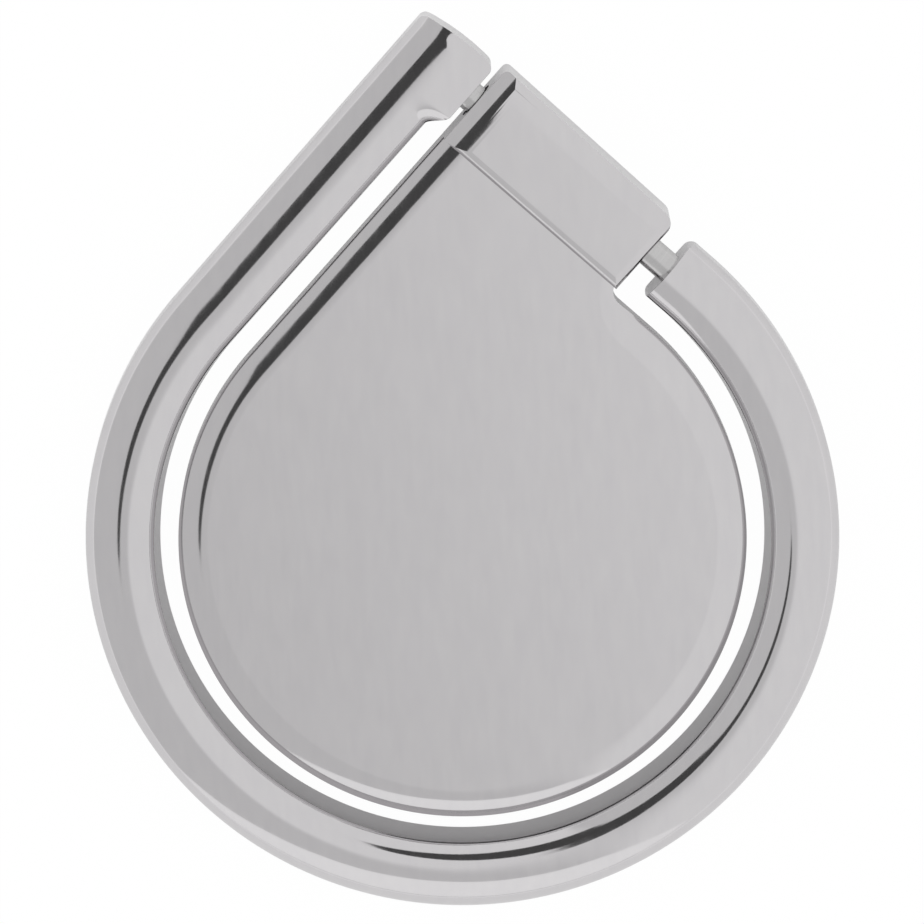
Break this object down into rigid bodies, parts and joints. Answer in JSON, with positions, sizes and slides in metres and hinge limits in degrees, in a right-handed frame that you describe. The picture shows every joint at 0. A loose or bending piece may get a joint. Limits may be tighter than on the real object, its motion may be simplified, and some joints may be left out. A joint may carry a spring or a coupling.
{
  "type": "phone ring holder",
  "caption": "Drop-shaped phone ring holder: a flat adhesive-backed plate with a hinge barrel, and a polished finger ring that lies round the plate and swings out on a friction hinge.",
  "frame": {"origin": "centre of the plate's round part, on the adhesive face", "axes": "+Z out of the phone through the plate, +Y towards the drop's tip, +X to the right seen from above; the hinge pin lies along (1, -1, 0)"},
  "size_m": [0.0376, 0.0453, 0.004],
  "materials": {
    "plated_zinc": "polished nickel-look plating on zinc casting",
    "pin_steel": "ground and plated",
    "spring_steel": "rolled strip, lightly oiled",
    "foam_tape": "matt acrylic foam"
  },
  "bodies": {
    "base": {"base_plate": "plated_zinc", "friction_sleeve": "spring_steel", "adhesive_pad": "foam_tape"},
    "ring": {"finger_ring": "plated_zinc", "hinge_pin": "pin_steel"}
  },
  "joints": [
    {"name": "ring_flip", "type": "hinge", "parent": "base", "child": "ring", "pos_m": [0.00607, 0.01812, 0.0024], "axis": [-0.7071, 0.7071, 0], "range_deg": [0, 180]}
  ]
}
